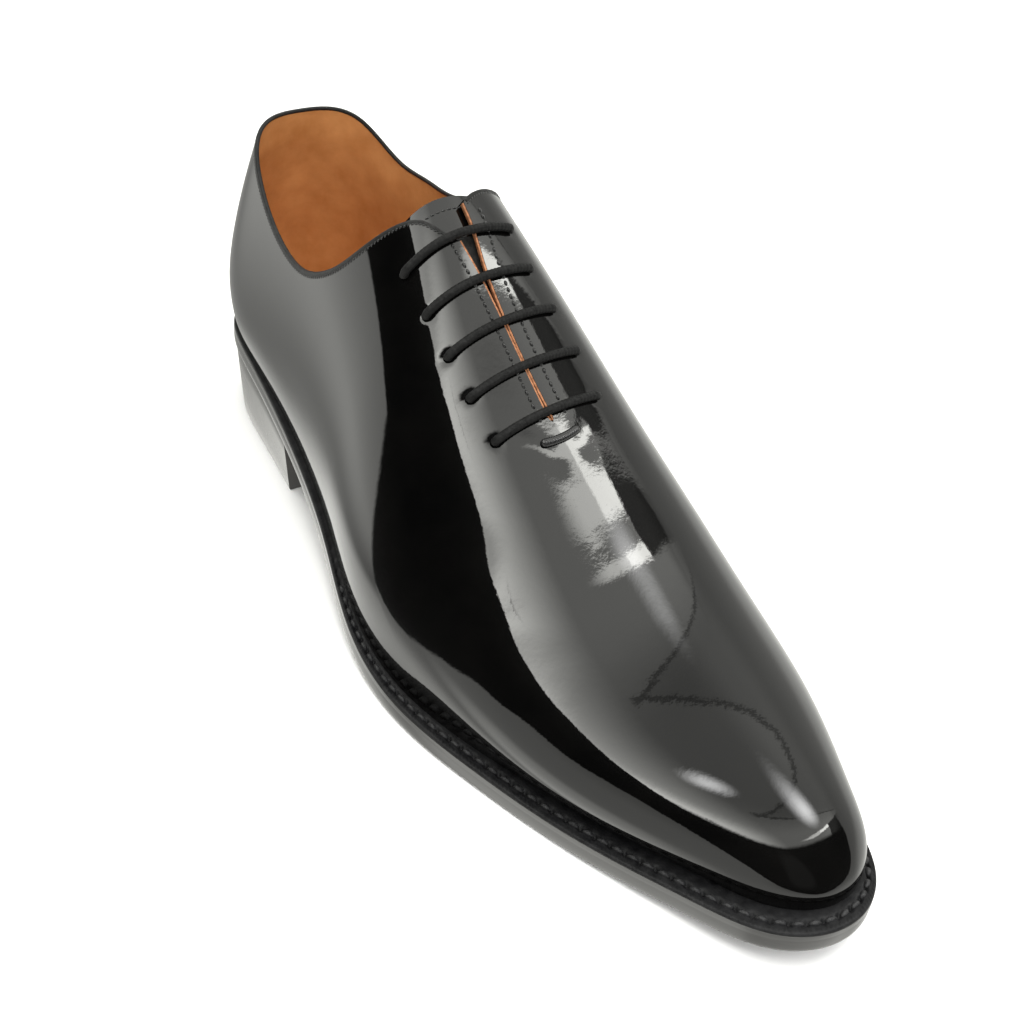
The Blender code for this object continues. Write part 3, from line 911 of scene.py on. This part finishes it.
def make_tongue_stitches():
    pitch, length, radius = TONGUE_STITCH
    inward = np.linspace(-TONGUE_ROW_HALF, TONGUE_ROW_HALF, 40)
    turns = last_turn(TONGUE_BACK + TONGUE_ROW_DOWN) + 0 * inward
    places, along, out = stitch_row(turns, PI / 2 + inward / HALF(turns), pitch)
    row = (places - (WALL + TONGUE_GAP) * out, along, out)
    dress(stitches("tongue_stitches", [row], length, radius, TONGUE_STITCH_LIFT), "tongue", THREAD)


# The lace: length past each hole, depth of its ends in the holes, the bend over a hole's rim, and its braid
LACE_PAST = 0.5
LACE_SINK = 0.9
LACE_CLIMB = LACE_RADIUS + 0.85
LACE_BEND = 1.6
LACE_BEND_POWER = 2.2
BRAID_PITCH = 2.4
BRAID_RELIEF = 0.07


def make_laces():
    def braid(u, angle):
        twist = 2 * PI * u / BRAID_PITCH
        return BRAID_RELIEF * np.sin(4 * angle + twist) * np.sin(4 * angle - twist)

    for number, (outer_station, outer_half, inner_station, inner_half) in enumerate(LACE_BARS, 1):
        span = outer_half + inner_half
        share = np.linspace(-LACE_PAST / span, 1 + LACE_PAST / span, 150)
        turn = last_turn(outer_station + share * (inner_station - outer_station))
        sweep = PI / 2 + (share * span - outer_half) / HALF(turn)
        end = np.minimum(share, 1 - share) * span + LACE_PAST
        bend = np.sqrt(1 - (1 - np.clip(end / LACE_BEND, 0, 1)) ** LACE_BEND_POWER)
        path = on_last(turn, sweep, LACE_CLIMB * bend - LACE_SINK)
        bar = tube(f"lace_{number}", path, last_normal(turn, sweep), LACE_RADIUS, LACE_RADIUS, 24, braid)
        dress(bar, "lace", CORD, replaces=(f"lace_bar_{number}",))


# Welt, sole and heel
WELT_BASE = OUTSOLE_THICK + GAP
WELT_TOP = WELT_BASE + WELT_THICK

# The welt's rim: distance inward of the sole's edge, height over the outsole's underside
WELT_RIM = (
    (0.4, WELT_BASE),
    (0, WELT_BASE - 0.15),
    (-0.04, WELT_BASE + 0.5),
    (0, WELT_TOP - 0.85),
    (0.14, WELT_TOP - 0.76),
    (0.13, WELT_TOP - 0.68),
    (0.02, WELT_TOP - 0.58),
    (0.03, WELT_TOP - 0.4),
    (0.12, WELT_TOP - 0.28),
)
# Strips of the rim, from below, that are inked like the outsole's edge
INKED_STRIPS = 4

# Its wheel marks: how many, the form of one, how far in they lie, breadth, height of the bead and the marks
WHEEL_MARKS = 540
WHEEL_FORM = (1.0, 0.55, 0.0, 0.55)
WHEEL_IN = 1.0
WHEEL_BREADTH = 0.55
BEAD_HEIGHT = 0.02
WHEEL_HEIGHT = 0.2

# Its row of stitches: how far in as a share of the welt's width, least and most, and its groove and holes
ROW_SHARE = 0.6
ROW_LIMITS = (1.3, 3.8)
GROOVE_BREADTH = 0.85
GROOVE_DEPTH = 0.25
HOLE_BREADTH = 0.75
HOLE_DEPTH = 1.1
STITCH_SINK = 0.15

# The stations where the row begins, and the widths where the welt has room for the wheel and for the row
ROW_BEGINS = (100, 116)
WHEEL_ROOM = (1.6, 3.2)
ROW_ROOM = (2.6, 4.6)

# The top's rounded rim: its breadth and drop
TOP_ROUNDING = 0.45
TOP_DROP = 0.25


def over_underside(plan, rise):
    """Places in plan, raised over the outsole's underside."""
    return np.concatenate([plan, (underside(plan[:, 0]) + rise)[:, None]], 1)


class WeltRound:
    """Even places once round the welt: its rim, its width and its row of stitches."""

    def __init__(self):
        q = np.linspace(0, 2 * PI, 6001)
        run = lengths(over_underside(sole_outline(q), 0))
        self.at = np.linspace(0, run[-1], WHEEL_MARKS * len(WHEEL_FORM) + 1)
        self.q = np.interp(self.at, run, q)
        self.edge = sole_edge(self.q)
        self.foot = feather_edge(self.q)
        self.width = np.linalg.norm(self.edge - self.foot, axis=1)
        self.stitched = ease(self.edge[:, 0], *ROW_BEGINS)
        self.room = ease(self.width, *ROW_ROOM)
        self.row_in = np.clip(ROW_SHARE * self.width, *ROW_LIMITS)


def make_welt(ring):
    pitch = WELT_STITCH[0]
    wheel = np.tile(WHEEL_FORM, WHEEL_MARKS + 1)[:len(ring.at)]
    has_row = ring.stitched * ring.room
    hole = hump(np.mod(ring.at, pitch) - pitch / 2, HOLE_BREADTH) * has_row
    loops = [over_underside(sole_edge(ring.q, inset + 0 * ring.q), rise) for inset, rise in WELT_RIM]
    for share in np.linspace(0.05, 1, 20):
        inset = share * ring.width
        marks = (BEAD_HEIGHT + WHEEL_HEIGHT * wheel) * ease(ring.width, *WHEEL_ROOM)
        bead = hump(inset - WHEEL_IN, WHEEL_BREADTH) * marks
        groove = hump(inset - ring.row_in, GROOVE_BREADTH) * (GROOVE_DEPTH * has_row + HOLE_DEPTH * hole)
        rounding = TOP_DROP * (ease(inset, 0, TOP_ROUNDING) - 1)
        plan = ring.edge + share * (ring.foot - ring.edge)
        loops.append(over_underside(plan, WELT_TOP + rounding + bead - groove))
    for rise in (WELT_TOP, WELT_BASE):
        loops.append(over_underside(feather_edge(ring.q, WALL + 0 * ring.q), rise))
    points = np.stack(loops + loops[:1], 1)
    points[-1] = points[0]
    welt = shaped_grid("welt_strip", points)
    welt.data.materials.append(WELT)
    welt.data.materials.append(EDGE)
    for face in welt.data.polygons:
        face.material_index = 1 if face.index % len(loops) < INKED_STRIPS else 0
    smooth(weld(welt), 45)
    dress(welt, "welt", replaces=("welt",))


def make_welt_stitches(ring):
    """A stitch between each two holes, where the welt has room for the row."""
    pitch, length, radius = WELT_STITCH
    centres = np.arange(pitch, ring.at[-1], pitch)
    stitched, room, inset, q = (np.interp(centres, ring.at, values)
                                for values in (ring.stitched, ring.room, ring.row_in, ring.q))
    kept = (stitched > 0.4) & (room > 0.5)
    q = q[kept]
    inset = inset[kept]

    def row_at(places, rise):
        rim = sole_edge(places)
        across = unit(feather_edge(places) - rim)
        return over_underside(rim + inset[:, None] * across, WELT_TOP + rise)

    small = 0.002
    along = unit(row_at(q + small, 0) - row_at(q - small, 0))
    out = unit(np.array([0, 0, 1.0]) - along[:, 2:] * along)
    row = (row_at(q, -STITCH_SINK), along, out)
    dress(stitches("welt_stitches", [row], length, radius, 0.0), "welt", WELT_THREAD)


def ring_across(outer, inner, across, crown=0.0):
    """A closed ring of points: along the outer wall, across to the inner one, back along it and across."""
    share = np.linspace(0, 1, across)[1:-1]
    there = [outer[-1] + s * (inner[-1] - outer[-1]) - [0, 0, crown * math.sin(PI * s)] for s in share]
    back = [inner[0] + s * (outer[0] - inner[0]) for s in share]
    return np.array(outer + there + inner[::-1] + back + outer[:1])


def plate(name, rim, edge, rows, base, across=11, crown=0.0):
    """A plate lofted from back to front: rim gives inset and rise over base, from underneath to the top."""
    rings = []
    for q in np.linspace(0, PI, rows):
        walls = [[np.append(edge(np.array(side), np.array(inset)), rise) for inset, rise in rim]
                 for side in (q, 2 * PI - q)]
        ring = ring_across(*walls, across, crown)
        ring[:, 2] += underside(ring[:, 0]) + base
        rings.append(ring)
    return smooth(weld(shaped_grid(name, np.array(rings))), 35)


# The outsole's edge: inset and rise, from underneath to the top
OUTSOLE_RIM = ((1.0, 0), (0.4, 0.1), (0.1, 0.4), (0, 0.9), (-0.05, 1.8), (-0.05, 3.4), (0, 4.15), (0.6, 4.0))


def make_outsole():
    outsole = plate("outsole_edge", OUTSOLE_RIM, sole_edge, 180, 0)
    dress(outsole, "outsole", EDGE, replaces=("outsole",))
    outsole.data.materials.append(SOLE)
    for face in outsole.data.polygons:
        face.material_index = 1 if face.normal.z < -0.9 else 0


# The insole's edge: further inset, distance below its top; and how far its middle is hollowed
INSOLE_RIM = ((0, INSOLE_THICK), (0, 0.7), (0.2, 0.2), (0.8, 0))
INSOLE_HOLLOW = 0.8


def make_insole():
    inset = WALL + GAP
    rim = [(inset + more, INSOLE_THICK - less) for more, less in INSOLE_RIM]
    sock = plate("sock_lining", rim, feather_edge, 150, WELT_BASE, 25, INSOLE_HOLLOW)
    dress(sock, "insole", LINING, replaces=("insole",))


# The heel's wall from the outsole down: inset, share of the way down
HEEL_LEVELS = ((0.6, 0.0), (0.1, 0.01), (0, 0.03), (0, 0.25), (0, 0.5), (0, 0.75), (0, 0.95), (0.12, 0.985),
               (0.5, 1.0))


def make_heel():
    def wall(q):
        near_back = ((1 + math.cos(q)) / 2) ** 4
        points = []
        for inset, level in HEEL_LEVELS:
            x, y = sole_edge(np.array(q), np.array(EDGE_BEVEL + inset))
            foot = np.array([x + HEEL_BACK_RAKE * near_back, y * HEEL_TAPER, 0])
            points.append(np.array([x, y, float(underside(x)) - GAP]) * (1 - level) + foot * level)
        return points

    breast = float(turn_of(HEEL_BREAST, 0, SOLE_LENGTH))
    rings = [ring_across(wall(q), wall(2 * PI - q), 9) for q in np.linspace(0, breast, 60)]
    heel = smooth(weld(shaped_grid("heel_block", np.array(rings)), fill=True), 35)
    # The heel's sides take the lightened ink, painted light; its tread and breast take the sole's finish
    dress(heel, "heel", HEEL_INK_PAINTED_LIGHT, replaces=("heel",))
    heel.data.materials.append(SOLE)
    for face in heel.data.polygons:
        face.material_index = 1 if face.normal.z < -0.9 or face.normal.x > 0.8 else 0


# The studio
# The camera: place in millimetres, direction back from the shoe and roll in degrees, lens
CAMERA_PLACE = (428.5, -211.1, 293.6)
CAMERA_AZIMUTH = 52.118
CAMERA_ELEVATION = 36.687
CAMERA_ROLL = 6.929
CAMERA_LENS = 51.51


def make_camera():
    azimuth, elevation, roll = (math.radians(a) for a in (CAMERA_AZIMUTH, CAMERA_ELEVATION, CAMERA_ROLL))
    back = np.array([math.cos(elevation) * math.sin(azimuth), -math.cos(elevation) * math.cos(azimuth),
                     math.sin(elevation)])
    right = unit(np.cross(-back, [0, 0, 1.0]))
    up = np.cross(right, -back)
    across = math.cos(roll) * right + math.sin(roll) * up
    upward = -math.sin(roll) * right + math.cos(roll) * up
    data = bpy.data.cameras.new("camera")
    data.lens = CAMERA_LENS
    data.sensor_width = 36.0
    data.clip_start = 0.01
    camera = bpy.data.objects.new("camera", data)
    bpy.context.scene.collection.objects.link(camera)
    matrix = Matrix.Identity(4)
    for column, axis in enumerate((across, upward, back)):
        for row in range(3):
            matrix[row][column] = axis[row]
    for row, value in enumerate(placed(np.array(CAMERA_PLACE))):
        matrix[row][3] = value
    camera.matrix_world = matrix
    bpy.context.scene.camera = camera


# Lower edge of the dark part of the room: azimuth and elevation in degrees, azimuth 0 on the outer side
DARK_LINE = ((-180, 90), (-62, 90), (-52, -30), (-46, -35), (-40, -34), (-30, -26), (-20, -15), (-10, 0),
             (0, 13), (10, 26), (15, 32), (20, 35), (25, 31), (30, 19), (40, 5), (50, -4), (65, -8),
             (90, -10), (110, -7), (125, -5), (135, 0), (145, 12), (153, 22), (165, 30), (180, 40))


# Light parts of the floor and walls: azimuth, elevation, half width, half height, softness of rim, radiance
LIGHT_PANELS = (
    (10, -30, 40, 58, 24.0, 1.3),
    (-4, -50, 26, 22, 14.0, 2.2),
    (88, -48, 58, 38, 14.0, 1.4),
    (-92, -62, 44, 24, 14.0, 1.3),
    (186, -16, 34, 24, 12.0, 1.35),
)

# Dim parts of the dark: as above, with the squareness of the panel before the radiance
DIM_PANELS = ((92, 30, 60, 34, 14.0, 2.6, 0.05), (76, 34, 15, 28, 8.0, 3.0, 0.14))

ROOM_LIGHT = 0.85
ROOM_DARK = 0.02
BACKGROUND = 1.1
LIGHT_COLOUR = (1.0, 1.0, 0.95, 1)


class Sky:
    """The studio all round, painted one part over another by direction; a mask is 1 where a part lies."""

    def __init__(self):
        world = bpy.data.worlds.new("studio")
        bpy.context.scene.world = world
        world.use_nodes = True
        self.tree = world.node_tree
        self.output = self.tree.nodes["Background"]
        coords = self.tree.nodes.new("ShaderNodeTexCoord")
        split = self.tree.nodes.new("ShaderNodeSeparateXYZ")
        self.tree.links.new(coords.outputs["Generated"], split.inputs[0])
        self.x, self.y, self.z = split.outputs
        self.azimuth = self.reckon("DEGREES", self.reckon("ARCTAN2", self.x, self.times(self.y, -1.0)))
        self.elevation = self.reckon("DEGREES", self.reckon("ARCSINE", self.z))
        self.light = ROOM_LIGHT

    def feed(self, value, socket):
        """Gives a socket a number, or links another one to it."""
        if isinstance(value, (int, float)):
            socket.default_value = value
        else:
            self.tree.links.new(value, socket)

    def reckon(self, operation, *values):
        node = self.tree.nodes.new("ShaderNodeMath")
        node.operation = operation
        for socket, value in zip(node.inputs, values):
            self.feed(value, socket)
        return node.outputs[0]

    def times(self, first, *others):
        for other in others:
            first = self.reckon("MULTIPLY", first, other)
        return first

    def plus(self, first, *others):
        for other in others:
            first = self.reckon("ADD", first, other)
        return first

    def minus(self, first, second):
        return self.reckon("SUBTRACT", first, second)

    def over(self, first, second):
        return self.reckon("DIVIDE", first, second)

    def size(self, value):
        return self.reckon("ABSOLUTE", value)

    def dimmed(self, light, mask, share):
        """A light with a share of it taken away where the mask lies."""
        return self.times(light, self.minus(1.0, self.times(mask, share)))

    def step(self, value, low, high):
        """A mask that rises softly from 0 at low to 1 at high."""
        node = self.tree.nodes.new("ShaderNodeMapRange")
        node.interpolation_type = "SMOOTHSTEP"
        node.inputs["From Min"].default_value = low
        node.inputs["From Max"].default_value = high
        self.tree.links.new(value, node.inputs["Value"])
        return node.outputs["Result"]

    def panel(self, azimuth, elevation, half_wide, half_high, soft, power=4.0):
        """A mask for a rounded panel; where it reaches past azimuth 180, azimuths count on from there."""
        turned = self.azimuth
        if azimuth + half_wide > 180:
            turned = self.plus(turned, self.times(self.reckon("LESS_THAN", turned, 0.0), 360.0))
        away = []
        for value, middle, half in ((turned, azimuth, half_wide), (self.elevation, elevation, half_high)):
            away.append(self.reckon("POWER", self.size(self.over(self.minus(value, middle), half)), power))
        edge = soft / min(half_wide, half_high)
        return self.step(self.reckon("POWER", self.plus(*away), 1 / power), 1 + edge / 2, 1 - edge / 2)

    def height_line(self, line):
        """The elevation of a line of azimuths and elevations, in degrees, at each azimuth."""
        node = self.tree.nodes.new("ShaderNodeFloatCurve")
        curve = node.mapping.curves[0]
        places = [((azimuth + 180) / 360, (elevation + 90) / 180) for azimuth, elevation in line]
        for point, place in zip(curve.points, (places[0], places[-1])):
            point.location = place
        for place in places[1:-1]:
            curve.points.new(*place)
        for point in curve.points:
            point.handle_type = "VECTOR"
        node.mapping.update()
        self.tree.links.new(self.over(self.plus(self.azimuth, 180.0), 360.0), node.inputs["Value"])
        return self.minus(self.times(node.outputs[0], 180.0), 90.0)

    def paint(self, mask, radiance):
        """Lays a radiance, a number or a socket, over what is there."""
        node = self.tree.nodes.new("ShaderNodeMix")
        node.data_type = "FLOAT"
        self.tree.links.new(mask, node.inputs["Factor"])
        for name, value in (("A", self.light), ("B", radiance)):
            self.feed(value, next(i for i in node.inputs if i.name == name and i.enabled))
        self.light = next(o for o in node.outputs if o.enabled)

    def finish(self):
        """Connects the painted light; the camera itself sees a plain pale background."""
        path = self.tree.nodes.new("ShaderNodeLightPath")
        self.paint(path.outputs["Is Camera Ray"], BACKGROUND)
        self.tree.links.new(self.light, self.output.inputs["Strength"])
        self.output.inputs["Color"].default_value = LIGHT_COLOUR


def paint_room(sky):
    """The white floor and walls, the dark of the room over its line, and the light wall beside the heel."""
    for *panel, radiance in LIGHT_PANELS:
        sky.paint(sky.panel(*panel), radiance)
    above = sky.minus(sky.elevation, sky.height_line(DARK_LINE))
    dark = sky.times(sky.step(above, -1.0, 1.0), sky.step(sky.azimuth, -75, -60))
    sky.paint(dark, ROOM_DARK)
    for *panel, radiance in DIM_PANELS:
        sky.paint(sky.times(dark, sky.panel(*panel)), radiance)
    leaning = sky.minus(sky.times(sky.plus(sky.elevation, 10.0), 0.45), 41.0)
    beside = sky.times(sky.step(sky.minus(leaning, sky.azimuth), -1.0, 1.0),
                       sky.step(sky.elevation, 14.0, 12.0), sky.step(sky.azimuth, -140, -115))
    wall = sky.plus(sky.times(sky.panel(-46, 0, 30, 24, 20.0), 1.4), 0.48)
    sky.paint(beside, sky.plus(wall, sky.times(sky.step(sky.elevation, -32, -38), 0.75)))


def paint_ceiling(sky):
    """The lit ceiling, by how far forward and to the inner side a place lies for each unit of height."""
    height = sky.reckon("MAXIMUM", sky.z, 0.12)
    forward = sky.over(sky.x, height)
    aside = sky.over(sky.y, height)
    # bright along its outer edge and in one strip
    near_edge = sky.over(sky.minus(0.05, aside), 0.65)
    near_edge = sky.reckon("MINIMUM", sky.reckon("MAXIMUM", near_edge, 0.0), 1.0)
    glow = sky.plus(sky.times(sky.step(forward, 0.15, 0.27), 6.5), 4.0)
    ceiling = sky.plus(sky.times(sky.reckon("POWER", near_edge, 1.25), glow), 0.95,
                       sky.step(forward, 0.0, 0.24), sky.times(sky.step(aside, 0.5, 0.9), 0.5))
    # the lamp that shows at the foot of the slit, with a dark gap past it
    slant = sky.plus(forward, sky.times(aside, 0.165))
    beyond = sky.step(slant, 0.355, 0.375)
    lamp = sky.plus(sky.times(sky.step(aside, 0.22, 0.5), 6.5), sky.times(sky.step(aside, 0.655, 0.69), 6.0))
    lamp = sky.times(lamp, sky.step(aside, 0.94, 0.91), sky.step(slant, 0.415, 0.397),
                     sky.step(forward, 0.335, 0.322))
    ceiling = sky.plus(ceiling, sky.times(lamp, beyond))
    gap = sky.times(sky.step(aside, 0.93, 0.95), sky.step(aside, 1.9, 1.5), beyond)
    ceiling = sky.dimmed(ceiling, gap, 0.88)
    # a thin dark line that wanders inside its outer edge
    wander = sky.times(sky.reckon("SINE", sky.times(forward, 60.0)), 0.06)
    line = sky.size(sky.minus(sky.plus(aside, 0.43), wander))
    line = sky.times(sky.step(line, 0.022, 0.01), sky.step(forward, 0.25, 0.28))
    ceiling = sky.dimmed(ceiling, line, 0.5)
    # a dimmer wedge of it, with a thin dark outline
    back_edge = sky.minus(forward, sky.minus(0.114, sky.times(aside, 0.27)))
    front_edge = sky.minus(0.075, forward)
    wedge = sky.times(sky.step(back_edge, -0.004, 0.004), sky.step(front_edge, -0.004, 0.004))
    ceiling = sky.dimmed(ceiling, wedge, 0.2)
    outline = sky.reckon("MINIMUM", sky.size(back_edge), sky.size(front_edge))
    outline = sky.times(sky.step(outline, 0.009, 0.002), sky.step(back_edge, -0.02, -0.01),
                        sky.step(front_edge, -0.02, -0.01))
    ceiling = sky.dimmed(ceiling, outline, 0.6)
    # its front, drawn back on the outer side
    front = sky.plus(0.41, sky.times(sky.reckon("MINIMUM", sky.plus(aside, 0.05), 0.0), 0.25))
    covered = sky.times(sky.step(sky.minus(front, forward), -0.03, 0.06), sky.step(aside, -0.6, -0.58),
                        sky.step(sky.elevation, 30, 42))
    sky.paint(covered, ceiling)


def softbox(name, place, target, size, power, mirrored=False):
    """An oblong of soft light for the floor and the matt parts; only a mirrored one shows in the gloss."""
    lamp = bpy.data.lights.new(name, "AREA")
    lamp.shape = "RECTANGLE"
    lamp.size, lamp.size_y = size
    lamp.energy = power
    light = bpy.data.objects.new(name, lamp)
    light.location = place
    light.rotation_euler = (Vector(target) - Vector(place)).to_track_quat("-Z", "Y").to_euler()
    light.visible_glossy = mirrored
    light.visible_camera = False
    bpy.context.scene.collection.objects.link(light)
    return lamp


def soften(lamp):
    """Lets a softbox fade from its middle to its rim."""
    lamp.use_nodes = True
    tree = lamp.node_tree
    surface = tree.nodes.new("ShaderNodeNewGeometry")
    away = tree.nodes.new("ShaderNodeVectorMath")
    away.operation = "DISTANCE"
    away.inputs[1].default_value = (0.5, 0.5, 0.0)
    fade = tree.nodes.new("ShaderNodeMapRange")
    fade.interpolation_type = "SMOOTHSTEP"
    fade.inputs["From Min"].default_value = 0.5
    fade.inputs["From Max"].default_value = 0.0
    tree.links.new(surface.outputs["Parametric"], away.inputs[0])
    tree.links.new(away.outputs["Value"], fade.inputs["Value"])
    tree.links.new(fade.outputs["Result"], tree.nodes["Emission"].inputs["Strength"])


def make_floor():
    deselect_all()
    bpy.ops.mesh.primitive_circle_add(vertices=96, radius=2.6, fill_type="NGON", location=(0, 0, -0.0003))
    floor = bpy.context.object
    floor.name = "floor"
    pale = Look("floor_pale", Roughness=0.9, Specular_IOR_Level=0.1)
    pale.colour(pale.noise(3.0), (0.3, (0.89, 0.89, 0.885)), (0.7, (0.91, 0.91, 0.905)))
    floor.data.materials.append(pale.material)
    floor.visible_glossy = False
    floor.visible_diffuse = False
    floor.visible_shadow = False


def make_studio():
    sky = Sky()
    paint_room(sky)
    paint_ceiling(sky)
    sky.finish()
    make_floor()
    softbox("overhead", (0.2, 0.2, 1.3), (0, 0, 0), (1.6, 1.6), 18.0)
    softbox("front_fill", (0.95, -0.35, 0.8), (0.05, 0, 0), (1.0, 1.0), 14.0)
    soften(softbox("toe_light", (0.135, 0.15, 0.25), (0.135, 0.15, 0), (0.1, 0.1), 0.4, True))
    soften(softbox("tip_light", (0.115, -0.004, 0.15), (0.115, -0.004, 0), (0.014, 0.056), 0.025, True))
    bpy.context.scene.view_settings.view_transform = "Standard"


make_camera()
make_studio()
make_upper()
make_binding()
make_collar_stitches()
make_facings()
make_bar_tack()
make_tongue()
make_tongue_stitches()
make_laces()
welt_round = WeltRound()
make_welt(welt_round)
make_welt_stitches(welt_round)
make_outsole()
make_insole()
make_heel()
